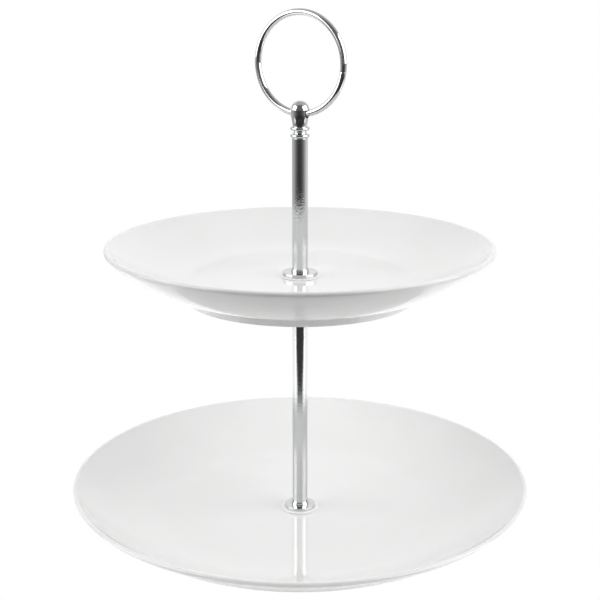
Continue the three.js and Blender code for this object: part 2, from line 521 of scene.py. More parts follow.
def glaze_group() -> NodeTree:
    """Builds the group that tells glazed clay from the bare clay under the foot.

    Returns:
        A group from Vector, Glaze Line and three colours to Color, Glazed and Ripple.
    """
    line_waver = 0.25 * MM
    line_width = 0.12 * MM
    peel_share = 0.35
    colours = {"Glazed": "Color", "Clouded": "Color", "Bare": "Color"}
    group, wire, given = new_group(
        "glaze_on_clay",
        {"Vector": "Vector", "Glaze Line": "Float", **colours},
        {"Color": "Color", "Glazed": "Float", "Ripple": "Float"},
    )
    place = given.outputs["Vector"]
    height = wire.add("SeparateXYZ", Vector=place).outputs["Z"]
    waver = wire.math("MULTIPLY", wire.noise(place, 90.0, 2.0), line_waver)
    above = wire.math("SUBTRACT", wire.math("ADD", height, waver), given.outputs["Glaze Line"])
    glazed = wire.spread(above, (0.0, line_width))
    clouds = wire.spread(wire.noise(place, 18.0, 3.0), (0.35, 0.7))
    tone = wire.blend(clouds, given.outputs["Glazed"], given.outputs["Clouded"])
    peel = wire.math("MULTIPLY", wire.noise(place, 160.0, 1.0), peel_share)
    wire.add(
        "NodeGroupOutput",
        Color=wire.blend(glazed, given.outputs["Bare"], tone),
        Glazed=glazed,
        Ripple=wire.math("ADD", wire.noise(place, 30.0, 1.0), peel),
    )
    return group


@dataclass
class SharedEffects:
    """Node groups that more than one material uses, each built once."""

    handling: NodeTree = field(default_factory=handling_group)
    glaze: NodeTree = field(default_factory=glaze_group)


# ---- finishes


@dataclass(frozen=True, kw_only=True)
class Finish:
    """Finish with faint marks of handling on it.

    Attributes:
        polish: Roughness of the clean face.
        smudge: Roughness that handling adds at most.
    """

    name: str
    polish: float
    smudge: float
    mark_scale: float

    def marks(self, wire: Wiring, place: NodeSocket, shared: SharedEffects) -> Node:
        """Places the marks.

        Args:
            wire: Wiring of the material.
            place: Where on the piece a point lies.
            shared: The groups that several materials use.

        Returns:
            Node that puts out their Roughness and Height.
        """
        return wire.add(
            "Group",
            {"node_tree": shared.handling},
            Vector=place,
            Polish=self.polish,
            Smudge=self.smudge,
            Scale=self.mark_scale,
        )

    def build(self, shared: SharedEffects) -> Material:
        """Builds the material."""
        raise NotImplementedError


@dataclass(frozen=True, kw_only=True)
class Glaze(Finish):
    """Clear gloss glaze on white porcelain, bare where the foot was wiped for the kiln.

    Attributes:
        foot_base: Height of the foot's resting face.
        bare_height: How far the glaze stops above that face.
        body: Colour of the glazed clay.
        clouded: Its colour where the glaze lies a little thicker.
        ripple: Height of the glaze's slight waves.
    """

    polish: float = 0.04
    smudge: float = 0.05
    mark_scale: float = 22.0
    foot_base: float
    bare_height: float = 0.4 * MM
    body: Colour = (0.875, 0.875, 0.872, 1)
    clouded: Colour = (0.855, 0.856, 0.852, 1)
    bare: Colour = (0.76, 0.75, 0.725, 1)
    bare_roughness: float = 0.7
    ripple: float = 0.02 * MM
    index: float = 1.58

    def build(self, shared: SharedEffects) -> Material:
        """Builds the material.

        Args:
            shared: The groups that several materials use.

        Returns:
            The material.
        """
        material, wire, place = start_material(self.name)
        clay = wire.add(
            "Group",
            {"node_tree": shared.glaze},
            Vector=place,
            Glaze_Line=self.foot_base + self.bare_height,
            Glazed=self.body,
            Clouded=self.clouded,
            Bare=self.bare,
        )
        marks = self.marks(wire, place, shared)
        rough = wire.add("Mix", {"data_type": "FLOAT"}, Factor=clay.outputs["Glazed"])
        wire.feed(rough, 2, self.bare_roughness, marks.outputs["Roughness"])
        bump = wire.add("Bump", Strength=1.0, Distance=self.ripple, Height=clay.outputs["Ripple"])
        shader = wire.add(
            "BsdfPrincipled",
            Base_Color=clay.outputs["Color"],
            Roughness=rough.outputs[0],
            Normal=bump.outputs["Normal"],
            IOR=self.index,
        )
        wire.surface(shader)
        return material


@dataclass(frozen=True, kw_only=True)
class Metal(Finish):
    """Metal face, plated or turned.

    Attributes:
        dull_colour: Colour where it is a little tarnished.
        grain: Height of the fine grain.
        draw: Scale along the piece, below 1 for marks drawn out lengthwise.
        peel: Height of the fine unevenness that shows through the plating.
        tarnish_share: Scale of the tarnish as a share of that of the marks.
    """

    polish: float = 0.2
    smudge: float = 0.2
    mark_scale: float = 300.0
    colour: Colour
    dull_colour: Colour
    grain: float = 0.01 * MM
    draw: float = 1.0
    peel: float = 0.0
    peel_scale: float = 1300.0
    tarnish_share: float = 0.6

    def build(self, shared: SharedEffects) -> Material:
        """Builds the material.

        Args:
            shared: The groups that several materials use.

        Returns:
            The material.
        """
        material, wire, spot = start_material(self.name)
        place = wire.add("Mapping", Vector=spot, Scale=(1.0, 1.0, self.draw)).outputs["Vector"]
        tarnish = wire.noise(place, self.mark_scale * self.tarnish_share, 4.0)
        marks = self.marks(wire, place, shared)
        bump = wire.add("Bump", Strength=0.5, Distance=self.grain, Height=marks.outputs["Height"])
        if self.peel > 0:
            pits = wire.noise(spot, self.peel_scale, 3.0)
            bump = wire.add("Bump", Distance=self.peel, Height=pits, Normal=bump.outputs["Normal"])
        shader = wire.add(
            "BsdfPrincipled",
            Base_Color=wire.blend(wire.spread(tarnish, (0.45, 0.75)), self.colour, self.dull_colour),
            Metallic=1.0,
            Roughness=marks.outputs["Roughness"],
            Normal=bump.outputs["Normal"],
        )
        wire.surface(shader)
        return material


@dataclass(frozen=True, kw_only=True)
class SoftPlastic(Finish):
    """Soft white plastic with a fine moulded grain, in which it has its shade."""

    name: str = "soft_white_nylon"
    polish: float = 0.35
    smudge: float = 0.2
    mark_scale: float = 300.0
    colour: Colour = (0.98, 0.98, 0.975, 1)
    shade: Colour = (0.95, 0.95, 0.945, 1)
    grain: float = 0.01 * MM
    grain_scale: float = 400.0
    index: float = 1.53

    def build(self, shared: SharedEffects) -> Material:
        """Builds the material.

        Args:
            shared: The groups that several materials use.

        Returns:
            The material.
        """
        material, wire, place = start_material(self.name)
        grain = wire.spread(wire.noise(place, self.grain_scale, 3.0), (0.4, 0.7))
        marks = self.marks(wire, place, shared)
        bump = wire.add("Bump", Strength=0.4, Distance=self.grain, Height=marks.outputs["Height"])
        shader = wire.add(
            "BsdfPrincipled",
            Base_Color=wire.blend(grain, self.colour, self.shade),
            Roughness=marks.outputs["Roughness"],
            Normal=bump.outputs["Normal"],
            IOR=self.index,
        )
        wire.surface(shader)
        return material


CHROME = Metal(
    name="bright_chrome",
    colour=(0.655, 0.66, 0.665, 1),
    dull_colour=(0.62, 0.625, 0.63, 1),
    polish=0.05,
    smudge=0.06,
    mark_scale=160.0,
    grain=0.002 * MM,
)
TUBE_CHROME = Metal(
    name="drawn_tube_chrome",
    colour=(0.655, 0.66, 0.665, 1),
    dull_colour=(0.58, 0.585, 0.59, 1),
    polish=0.07,
    smudge=0.08,
    mark_scale=260.0,
    grain=0.006 * MM,
    draw=0.08,
    peel=0.06 * MM,
)
ZINC = Metal(
    name="zinc_plate",
    colour=(0.60, 0.62, 0.64, 1),
    dull_colour=(0.50, 0.51, 0.52, 1),
    polish=0.22,
)
BRASS = Metal(name="turned_brass", colour=(0.72, 0.53, 0.25, 1), dull_colour=(0.60, 0.43, 0.20, 1))
USUAL_FINISH = {Slot.CHROME: CHROME, Slot.ZINC: ZINC, Slot.BRASS: BRASS, Slot.SOFT_WHITE: SoftPlastic()}


@dataclass
class Finishes:
    """The materials of the whole stand, each built once."""

    shared: SharedEffects = field(default_factory=SharedEffects)
    built: dict[str, Material] = field(default_factory=dict)

    def get(self, finish: Finish) -> Material:
        """Gives the material of a finish, building it the first time.

        Args:
            finish: The finish.

        Returns:
            Its material.
        """
        if finish.name not in self.built:
            self.built[finish.name] = finish.build(self.shared)
        return self.built[finish.name]


# ---- plates and washers


@dataclass
class Part:
    """One piece of the stand, which replaces one node of the frame and rides on one body.

    Attributes:
        slot: The material slot of its finish.
        steps: Number of faces round it.
    """

    slot: ClassVar[Slot] = Slot.CHROME
    steps: ClassVar[int] = 96
    node: str
    body: Body

    @property
    def low(self) -> Vector:
        """Lowest corner of its node's box."""
        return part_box(self.node)[0]

    @property
    def high(self) -> Vector:
        """Highest corner of its node's box."""
        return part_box(self.node)[1]

    @property
    def heights(self) -> Point:
        """Height of its node's lowest and of its highest point."""
        return self.low.z, self.high.z

    @property
    def finish(self) -> Finish:
        """Its finish, which is the usual one for its slot."""
        return USUAL_FINISH[self.slot]

    def shape(self) -> Object:
        """Models the piece."""
        raise NotImplementedError

    def build(self, finishes: Finishes) -> Object:
        """Models the piece, dresses it in its finish and ties it to the frame.

        Args:
            finishes: The stand's finishes.

        Returns:
            The finished piece.
        """
        piece = self.shape()
        piece.data.materials.clear()
        piece.data.materials.append(finishes.get(self.finish))
        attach(piece, self.body.value)
        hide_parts(self.node)
        return piece


@dataclass
class CoupePlate(Part):
    """Coupe plate on a foot ring, with a hole in the middle for the column.

    Attributes:
        washer: Node of the washer that lies on its well.
        foot_radius: Outside of the foot at its resting face.
        wall_slope: Slope of the outer wall where it leaves the foot; slopes are in degrees.
        wall_reach: Share of the outer wall's run that keeps its low slope.
        foot_draft: How far each side of the foot leans away from its resting face.
        rim_reach: Share of the outer wall's run that keeps the rim's slope.
        bowl_reach: Share of the inner wall's run that keeps the bowl's slope.
        well_ease: Share of that run over which the wall eases into the well.
        well_rings: Radii of the rings that part the well, as shares of its own.
    """

    slot: ClassVar[Slot] = Slot.PORCELAIN
    steps: ClassVar[int] = 256
    washer: str
    well_radius: float
    foot_radius: float
    foot_height: float
    wall_slope: float
    wall_reach: float
    rim_roll: float = 1.53 * MM
    foot_width: float = 3.2 * MM
    foot_draft: float = 1.4 * MM
    foot_edge: float = 0.7 * MM
    foot_fillet: float = 1.2 * MM
    thickness: float = 5.0 * MM
    hole_radius: float = 4.0 * MM
    hole_edge: float = 0.4 * MM
    rim_slope: float = 62.0
    rim_reach: float = 0.04
    bowl_slope: float = 45.0
    bowl_reach: float = 0.3
    well_ease: float = 0.32
    well_rings: Point = (0.66, 0.33)
    outer_steps: int = 28
    inner_steps: int = 32
    rim_steps: int = 16

    @property
    def finish(self) -> Finish:
        """Its glaze, which ends just above its own foot."""
        return Glaze(name=f"{self.node}_glaze", foot_base=self.low.z)

    @property
    def roll(self) -> Point:
        """Middle of the rolled rim."""
        return self.high.x - self.rim_roll, self.high.z - self.rim_roll

    def underside(self, level: float) -> list[Point]:
        """Draws the bottom and the outer wall, from the hole out to the rim.

        Args:
            level: Height of the underside inside the foot.

        Returns:
            Points as radius and height.
        """
        base = self.low.z
        foot_top = (self.foot_radius + self.foot_draft, base + self.foot_height)
        foot_inner = self.foot_radius - self.foot_width
        corner = foot_inner - self.foot_draft - self.foot_fillet
        rim_under = on_arc(self.roll, self.rim_roll, self.rim_slope - 90)
        run = rim_under[0] - foot_top[0]
        foot_handle = on_arc(foot_top, run * self.wall_reach, self.wall_slope)
        rim_handle = on_arc(rim_under, run * self.rim_reach, self.rim_slope - 180)
        edge = self.foot_edge
        return [
            *rounded((self.hole_radius, level), self.hole_edge, 180, 3),
            (corner * 0.5, level),
            *arc((corner, level - self.foot_fillet), self.foot_fillet, 90, 20, 5),
            *arc((foot_inner + edge, base + edge), edge, 190, 270, 4),
            *arc((self.foot_radius - edge, base + edge), edge, -90, -20, 4),
            foot_top,
            *curve((foot_top, foot_handle, rim_handle, rim_under), self.outer_steps),
        ]

    def bowl(self, level: float) -> list[Point]:
        """Draws the rolled rim, the inner wall and the well, from the rim in to the hole.

        Args:
            level: Height of the well.

        Returns:
            Points as radius and height.
        """
        rim_inner = on_arc(self.roll, self.rim_roll, self.bowl_slope + 90)
        run = rim_inner[0] - self.well_radius
        rim_handle = on_arc(rim_inner, run * self.bowl_reach, self.bowl_slope - 180)
        well_handle = (self.well_radius + run * self.well_ease, level)
        well_end = (self.well_radius, level)
        return [
            *arc(self.roll, self.rim_roll, self.rim_slope - 90, self.bowl_slope + 90, self.rim_steps),
            *curve((rim_inner, rim_handle, well_handle, well_end), self.inner_steps),
            well_end,
            *((self.well_radius * share, level) for share in self.well_rings),
            *rounded((self.hole_radius, level), self.hole_edge, 90, 3),
        ]

    def shape(self) -> Object:
        """Turns the plate.

        Returns:
            The plate.
        """
        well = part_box(self.washer)[0].z - SEAT_GAP
        section = [*self.underside(well - self.thickness), *self.bowl(well)]
        return turn(f"{self.node}_glazed", section, self.steps, through=True)


@dataclass
class SteelWasher(Part):
    """Flat washer under the head of a screw."""

    slot: ClassVar[Slot] = Slot.ZINC
    edge: float = 0.18 * MM

    def shape(self) -> Object:
        """Turns the washer.

        Returns:
            The washer.
        """
        edges = (self.edge * 0.5, self.edge)
        section = sleeve((CLEARANCE_HOLE, self.high.x), self.heights, edges, (3, 4))
        return turn(f"{self.node}_disc", section, self.steps, through=True)


@dataclass
class SoftWasher(SteelWasher):
    """Soft washer that keeps metal off the glaze."""

    slot: ClassVar[Slot] = Slot.SOFT_WHITE
    edge: float = 0.12 * MM


@dataclass
class Flange(Part):
    """Chrome flange, with a low hub that takes the end of a tube.

    Attributes:
        tube: Node of the tube that stands in it.
        facing: 1 if its hub faces up, -1 if it faces down.
        rise: How far the hub stands over the face on which the tube rests.
        fillet: Radius of the hollow at the hub's foot.
        socket_gap: Radial gap round the tube.
    """

    tube: str
    facing: int = 1
    rise: float = 1.5 * MM
    wall: float = 0.55 * MM
    fillet: float = 0.15 * MM
    edge: float = 0.12 * MM
    hub_edge: float = 0.35 * MM
    socket_gap: float = 0.04 * MM

    def section(self, radius: float, thickness: float) -> list[Point]:
        """Draws the section of a flange that lies on height 0 and faces up.

        Args:
            radius: Its outside radius.
            thickness: Height of the face on which the tube rests.

        Returns:
            Points as radius and height.
        """
        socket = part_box(self.tube)[1].x + self.socket_gap
        hub = socket + self.wall
        lip = thickness + self.rise
        return [
            *rounded((CLEARANCE_HOLE, 0.0), self.edge * 0.5, 180, 3),
            *rounded((radius, 0.0), self.edge, -90),
            *rounded((radius, thickness), self.edge, 0),
            *arc((hub + self.fillet, thickness + self.fillet), self.fillet, 270, 180, 3),
            *rounded((hub, lip), self.hub_edge, 0),
            *rounded((socket, lip), self.edge * 0.4, 90, 3),
            (socket, thickness),
            *rounded((CLEARANCE_HOLE, thickness), self.edge * 0.5, 90, 3),
        ]

    def shape(self) -> Object:
        """Turns the flange.

        Returns:
            The flange.
        """
        low, high = self.heights
        base = low if self.facing > 0 else high
        section = [(r, base + self.facing * h) for r, h in self.section(self.high.x, high - low)]
        return turn(f"{self.node}_socket", section, self.steps, through=True)


# ---- tubes and threads


@dataclass
class ChromeTube(Part):
    """Thin-walled tube with rolled ends."""

    wall: float = 0.75 * MM
    edge: float = 0.35 * MM
    inner_edge: float = 0.15 * MM

    @property
    def finish(self) -> Finish:
        """Chrome on a drawn tube."""
        return TUBE_CHROME

    def shape(self) -> Object:
        """Turns the tube.

        Returns:
            The tube.
        """
        radii = (self.high.x - self.wall, self.high.x)
        section = sleeve(radii, self.heights, (self.inner_edge, self.edge), (2, 5))
        return turn(f"{self.node}_chrome", section, self.steps, through=True)


@dataclass
class Thread:
    """Screw thread of one pitch, wound as often as its length needs.

    Attributes:
        root: Radius in the groove.
        crest: Radius on the crest.
        pitch: Rise in one turn.
        profile: Where root ends, crest starts and crest ends, as shares of the pitch.
        margin: How far the plain rod that trims a thread stands over the crest.
    """

    root: float = 2.02 * MM
    crest: float = 2.4 * MM
    pitch: float = 0.8 * MM
    profile: tuple[float, float, float] = (0.12, 0.5, 0.62)
    margin: float = 0.2 * MM
    steps: int = 32

    def rod(self, name: str, low: float, high: float) -> Object:
        """Winds a threaded rod.

        Args:
            name: Name of the rod.
            low: Height of its lower end.
            high: Height of its upper end.

        Returns:
            A closed solid, square at both ends.
        """
        start = low - 1.5 * self.pitch
        radii = (self.root, self.root, self.crest, self.crest, self.root)
        shares = (0.0, *self.profile, 1.0)
        piece = draw_section(name, [(r, start + share * self.pitch) for r, share in zip(radii, shares)])
        bpy.ops.object.mode_set(mode="OBJECT")
        bpy.ops.object.transform_apply(location=True)
        bpy.ops.object.modifier_add(type="SCREW")
        winding = piece.modifiers[-1]
        winding.axis = "Z"
        winding.angle = FULL_TURN
        winding.screw_offset = self.pitch
        winding.iterations = math.ceil((high - start) / self.pitch) + 1
        winding.steps = self.steps
        winding.render_steps = self.steps
        bpy.ops.object.modifier_apply(modifier=winding.name)
        edit_all()
        bpy.ops.mesh.remove_doubles(threshold=WELD)
        for height, way in ((low, -1), (high, 1)):
            bpy.ops.mesh.select_all(action="SELECT")
            bpy.ops.mesh.bisect(
                plane_co=(0, 0, height),
                plane_no=(0, 0, way),
                use_fill=True,
                clear_outer=True,
                threshold=WELD / 20,
            )
        return settle(piece)

    def trim(self, rod: Object, low: float, high: float, bevels: Point) -> Object:
        """Cuts a threaded rod to its length and bevels its ends.

        Args:
            rod: A rod that is longer than it should be.
            low: Height of its new lower end.
            high: Height of its new upper end.
            bevels: Bevel at the lower and at the upper end.

        Returns:
            The rod.
        """
        section = [
            (0.0, low),
            (self.crest - bevels[0], low),
            (self.crest + self.margin, low + bevels[0] + self.margin),
            (self.crest + self.margin, high - bevels[1] - self.margin),
            (self.crest - bevels[1], high),
            (0.0, high),
        ]
        cut(rod, turn(f"{rod.name}_blank", section, self.steps * 2, through=False), Cut.KEEP_SHARED)
        return rod


@dataclass
class TappedBush(Part):
    """Brass bush that is pressed into a tube's end, with a tapped bore.

    Attributes:
        bore: Radius of the bore between the grooves.
        groove: Radius in the grooves and at the bevelled mouths.
        tap_clearance: How far the tap's root stays clear of the bore.
    """

    slot: ClassVar[Slot] = Slot.BRASS
    steps: ClassVar[int] = 64
    bore: float = 2.6 * MM
    groove: float = 2.9 * MM
    tap_clearance: float = 0.1 * MM
    edge: float = 0.25 * MM

    def shape(self) -> Object:
        """Turns the bush and taps it.

        Returns:
            The bush.
        """
        low, high = self.heights
        bevel = self.groove - self.bore
        section = [
            (self.bore, low + bevel),
            (self.groove, low),
            *rounded((self.high.x, low), self.edge, -90, 3),
            *rounded((self.high.x, high), self.edge, 0, 3),
            (self.groove, high),
            (self.bore, high - bevel),
        ]
        piece = turn(f"{self.node}_brass", section, self.steps, through=True)
        tap = Thread(root=self.bore - self.tap_clearance, crest=self.groove)
        cut(piece, tap.rod("tap", low - MM, high + MM), Cut.TAKE_AWAY)
        return piece


@dataclass
class HeadlessStud(Part):
    """Threaded stud that joins the handle to the column, bevelled at both ends."""

    slot: ClassVar[Slot] = Slot.ZINC
    thread: Thread = field(default_factory=Thread)
    bevel: float = 0.5 * MM

    def shape(self) -> Object:
        """Winds the stud's thread and bevels its ends.

        Returns:
            The stud.
        """
        low, high = self.heights
        rod = self.thread.rod("stud_zinc", low - MM, high + MM)
        return self.thread.trim(rod, low, high, (self.bevel, self.bevel))


@dataclass
class PanHeadScrew(Part):
    """Pan-head screw with a cross recess, its head under the lower plate.

    Attributes:
        neck_inset: How far the plain neck inside the thread stays clear of its root.
        shank_overlap: How far the thread starts inside the head.
        cross_taper: Length and width of an arm's inner end, as shares of its full ones.
    """

    slot: ClassVar[Slot] = Slot.ZINC
    steps: ClassVar[int] = 64
    thread: Thread = field(default_factory=Thread)
    head_radius: float = 4.7 * MM
    head_height: float = 2.2 * MM
    head_edge: float = 0.9 * MM
    seat_edge: float = 0.15 * MM
    neck_inset: float = 0.2 * MM
    neck_length: float = 2 * MM
    shank_overlap: float = 0.3 * MM
    cross_width: float = 1.1 * MM
    cross_length: float = 4.6 * MM
    cross_depth: float = 1.3 * MM
    cross_taper: Point = (0.62, 0.8)
    bevel: float = 0.5 * MM

    def head(self) -> Object:
        """Turns the head and its plain neck.

        Returns:
            The head, with a neck that runs into the thread.
        """
        low = self.low.z
        seat = low + self.head_height
        neck = self.thread.root - self.neck_inset
        section = [
            (0.0, low),
            *arc((self.head_radius - self.head_edge, low + self.head_edge), self.head_edge, -90, 0, 8),
            *rounded((self.head_radius, seat), self.seat_edge, 0, 3),
            (neck, seat),
            (neck, seat + self.neck_length),
            (0.0, seat + self.neck_length),
        ]
        return turn("base_screw_zinc", section, self.steps, through=False)

    def recess_arm(self, turned: float) -> Object:
        """Shapes one tapered arm of the cross recess.

        Args:
            turned: Angle of the arm in degrees.

        Returns:
            The arm as a solid.
        """
        mouth = (0, 0, self.low.z)
        size = (self.cross_length, self.cross_width, 2 * self.cross_depth)
        arm = added("recess_arm", bpy.ops.mesh.primitive_cube_add, size=1, location=mouth, scale=size)
        bpy.ops.object.mode_set(mode="EDIT")
        bpy.ops.mesh.select_all(action="DESELECT")
        bpy.ops.mesh.select_mode(type="FACE")
        bpy.ops.object.mode_set(mode="OBJECT")
        for face in arm.data.polygons:
            face.select = face.normal.z > 0.5
        bpy.ops.object.mode_set(mode="EDIT")
        bpy.ops.transform.resize(value=(*self.cross_taper, 1.0), center_override=mouth)
        bpy.ops.object.mode_set(mode="OBJECT")
        arm.rotation_euler = (0, 0, math.radians(turned))
        return settle(arm)

    def shape(self) -> Object:
        """Makes the head, joins the thread to it and cuts the recess.

        Returns:
            The screw.
        """
        tip = self.high.z
        under = self.low.z + self.head_height - self.shank_overlap
        shank = self.thread.rod("screw_shank", under, tip + MM)
        self.thread.trim(shank, under - MM, tip, (0.0, self.bevel))
        piece = self.head()
        cut(piece, shank, Cut.JOIN)
        for turned in (0, 90):
            cut(piece, self.recess_arm(turned), Cut.TAKE_AWAY)
        return piece


# ---- knob and ring


@dataclass
class AcornKnob(Part):
    """Acorn knob on two beads, cross-drilled with bell mouths for the ring.

    Attributes:
        tube: Node of the tube it is pressed into.
        ring: Node of the ring that hangs in it.
        bead_flatness: 1 for a round bead, less for one that is fuller at its foot and top.
        wire_gap: Radial gap round the ring's wire in the middle of the hole.
        mouth_share: How far the hole opens with the bend of the wire, 1 for all of it.
    """

    tube: str
    ring: str
    bead_radius: float = 5.15 * MM
    bead_height: float = 1.9 * MM
    waist_radius: float = 3.8 * MM
    waist_height: float = 1.9 * MM
    waist_hollow: float = 0.45 * MM
    bead_flatness: float = 0.7
    neck_radius: float = 3.9 * MM
    acorn_radius: float = 4.95 * MM
    acorn_dome: float = 4.95 * MM
    spigot_radius: float = 3.4 * MM
    spigot_edge: float = 0.4 * MM
    wire_radius: float = 1.75 * MM
    wire_gap: float = 0.05 * MM
    mouth_share: float = 0.8
    ring_radius: float = 27.65 * MM
    bead_steps: int = 16
    waist_steps: int = 12
    side_steps: int = 18
    dome_steps: int = 24
    mouth_steps: int = 14
    hole_steps: int = 64

    def bead(self, base: float) -> list[Point]:
        """Draws the round of one bead.

        Args:
            base: Height of the bead's foot.

        Returns:
            Points as radius and height, from the bottom up.
        """
        half = self.bead_height / 2
        swell = self.bead_radius - self.waist_radius
        points = []
        for i in range(self.bead_steps + 1):
            angle = math.pi * (i / self.bead_steps - 0.5)
            bulge = swell * max(math.cos(angle), 0.0) ** self.bead_flatness
            points.append((self.waist_radius + bulge, base + half * (1 + math.sin(angle))))
        return points

    def cove(self, base: float) -> list[Point]:
        """Draws the hollow of the waist between the beads.

        Args:
            base: Height of the waist's foot.

        Returns:
            Points as radius and height, from the bottom up, without the ends.
        """
        points = []
        for i in range(1, self.waist_steps):
            hollow = self.waist_hollow * math.sin(math.pi * i / self.waist_steps)
            points.append((self.waist_radius - hollow, base + self.waist_height * i / self.waist_steps))
        return points

    def acorn(self, base: float, top: float) -> list[Point]:
        """Draws the acorn's side and dome.

        Args:
            base: Height of its foot.
            top: Height of its top.

        Returns:
            Points as radius and height, from the bottom up.
        """
        middle = top - self.acorn_dome
        side = (
            (self.neck_radius, base),
            (self.neck_radius, base + (middle - base) / 3),
            (self.acorn_radius, (middle + base) / 2),
            (self.acorn_radius, middle),
        )
        dome = arc((0.0, middle), self.acorn_radius, 0, 86, self.dome_steps)
        return [*curve(side, self.side_steps), *dome, (0.0, top)]

    def cross_hole(self) -> Object:
        """Shapes the hole, which opens towards both mouths as the wire bends away.

        Returns:
            A solid of the hole, lying across the knob at the ring's turn.
        """
        bend = self.ring_radius - self.wire_radius
        reach = self.acorn_radius + MM
        section = [(0.0, -reach)]
        for i in range(-self.mouth_steps, self.mouth_steps + 1):
            along = reach * i / self.mouth_steps
            drift = self.mouth_share * along**2 / (2 * bend)
            section.append((self.wire_radius + self.wire_gap + drift, along))
        section.append((0.0, reach))
        hole = turn("cross_hole", section, self.hole_steps, through=False)
        hole.rotation_euler = (0, math.pi / 2, math.radians(RING_TURN))
        hole.location = (0, 0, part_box(self.ring)[0].z + self.wire_radius)
        return settle(hole)

    def shape(self) -> Object:
        """Turns the knob and drills it.

        Returns:
            The knob.
        """
        low, high = self.heights
        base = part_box(self.tube)[1].z + SEAT_GAP
        upper_bead = base + self.bead_height + self.waist_height
        section = [
            (0.0, low),
            *rounded((self.spigot_radius, low), self.spigot_edge, -90),
            (self.spigot_radius, base),
            *self.bead(base),
            *self.cove(base + self.bead_height),
            *self.bead(upper_bead),
            *self.acorn(upper_bead + self.bead_height, high),
        ]
        piece = turn("acorn_knob_chrome", section, self.steps, through=False)
        cut(piece, self.cross_hole(), Cut.TAKE_AWAY)
        return piece


@dataclass
class WireRing(Part):
    """Wire bent round into a carrying ring, its two ends butted.

    Attributes:
        joint_angle: Where the ends meet, in degrees over the ring's right side.
    """

    steps: ClassVar[int] = 192
    wire_radius: float = 1.74 * MM
    joint_angle: float = -8.0
    joint_gap: float = 0.1 * MM
    end_edge: float = 0.1 * MM
    wire_steps: int = 32

    @property
    def radius(self) -> float:
        """Outside radius of the ring."""
        return (self.high.z - self.low.z) / 2

    @property
    def gap_angle(self) -> float:
        """Angle that the gap takes up."""
        return self.joint_gap / (self.radius - self.wire_radius)

    def bend(self) -> Object:
        """Bends the wire round, leaving the gap between its ends.

        Returns:
            An open tube round the Y axis that starts on the X axis.
        """
        piece = added(
            "ring_handle_chrome",
            bpy.ops.mesh.primitive_circle_add,
            vertices=self.wire_steps,
            radius=self.wire_radius,
            location=(self.radius - self.wire_radius, 0, 0),
        )
        bpy.ops.object.transform_apply(location=True)
        edit_all()
        sweep = FULL_TURN - self.gap_angle
        bpy.ops.mesh.spin(steps=self.steps, angle=sweep, center=(0, 0, 0), axis=(0, -1, 0))
        return piece

    def close_ends(self) -> None:
        """Fills and rounds the wire's two cut ends, in edit mode."""
        bpy.ops.mesh.select_all(action="SELECT")
        bpy.ops.mesh.fill_holes(sides=0)
        bpy.ops.mesh.select_all(action="DESELECT")
        bpy.ops.mesh.select_face_by_sides(number=self.wire_steps, type="EQUAL")
        bpy.ops.mesh.region_to_loop()
        bpy.ops.mesh.bevel(offset=self.end_edge, segments=3)
        bpy.ops.object.mode_set(mode="OBJECT")

    def shape(self) -> Object:
        """Bends the wire, closes its ends and hangs it in the knob.

        Returns:
            The ring.
        """
        piece = self.bend()
        self.close_ends()
        turned = -(math.radians(self.joint_angle) + self.gap_angle / 2)
        piece.rotation_euler = (0, turned, math.radians(RING_TURN))
        piece.location = (0, 0, self.low.z + self.radius)
        return settle(piece)


# ---- studio


@dataclass(frozen=True)
class TablePaper:
    """White paper of the table, which gives off a dim light of its own for the chrome to mirror.

    The camera sees it as plain white. A bearing is 0 on the camera's side and 1 behind the stand.

    Attributes:
        near: Its light close to the stand, by bearing.
        far: Its light further off, by bearing.
        far_reach: Distances between which the one turns into the other.
        front: Y between which it fades out in front of the stand.
        front_light: Share of its light in front of that and behind it, close to the stand.
        mirror_gain: How much brighter than it shines it is mirrored close to the stand.
        sides: X between which the far light changes.
        side_light: Share of the far light on the left and on the right.
        matt_reach: Distances between which it stops taking the light of the lamps.
    """

    near: Stops = ((0.0, 0.15), (0.19, 0.15), (0.27, 0.3), (0.34, 0.6), (0.41, 0.5), (0.5, 0.2))
    far: Stops = (
        (0.0, 0.05), (0.128, 0.08), (0.222, 0.14), (0.311, 0.26),
        (0.417, 0.45), (0.528, 0.72), (0.683, 0.82), (1.0, 0.85),
    )
    far_reach: Point = (0.4, 0.9)
    front: Point = (-0.2, -0.165)
    front_light: Point = (0.04, 1.0)
    mirror_gain: float = 0.4
    sides: Point = (-0.6, 0.6)
    side_light: Point = (0.7, 1.1)
    matt_reach: Point = (0.35, 0.7)

    def build(self) -> Material:
        """Builds the material.

        Returns:
            The material.
        """
        material, wire, place = start_material("white_paper")
        spot = wire.add("SeparateXYZ", Vector=place)
        bearing = wire.bearing(spot)
        reach = wire.add("VectorMath", {"operation": "LENGTH"}, Vector=place).outputs["Value"]
        front = wire.spread(spot.outputs["Y"], self.front, self.front_light)
        light_path = wire.add("LightPath")
        gain = wire.math("MULTIPLY", light_path.outputs["Is Glossy Ray"], self.mirror_gain)
        near_light = wire.math("MULTIPLY", front, wire.math("ADD", gain, 1.0))
        near = wire.scaled(wire.ramp(bearing, self.near), near_light)
        far_light = wire.spread(spot.outputs["X"], self.sides, self.side_light)
        far = wire.scaled(wire.ramp(bearing, self.far), far_light)
        light = wire.blend(wire.spread(reach, self.far_reach), near, far)
        own = wire.add("Emission", Color=light, Strength=1.0)
        matt_share = wire.math("MULTIPLY", front, wire.spread(reach, self.matt_reach, (1.0, 0.0)))
        matt = wire.add("BsdfDiffuse", Color=matt_share)
        lit = wire.feed(wire.add("AddShader"), 0, matt.outputs[0], own.outputs[0])
        white = wire.add("Emission", Color=WHITE, Strength=1.0)
        wire.surface(wire.either(light_path.outputs["Is Camera Ray"], lit, white))
        return material


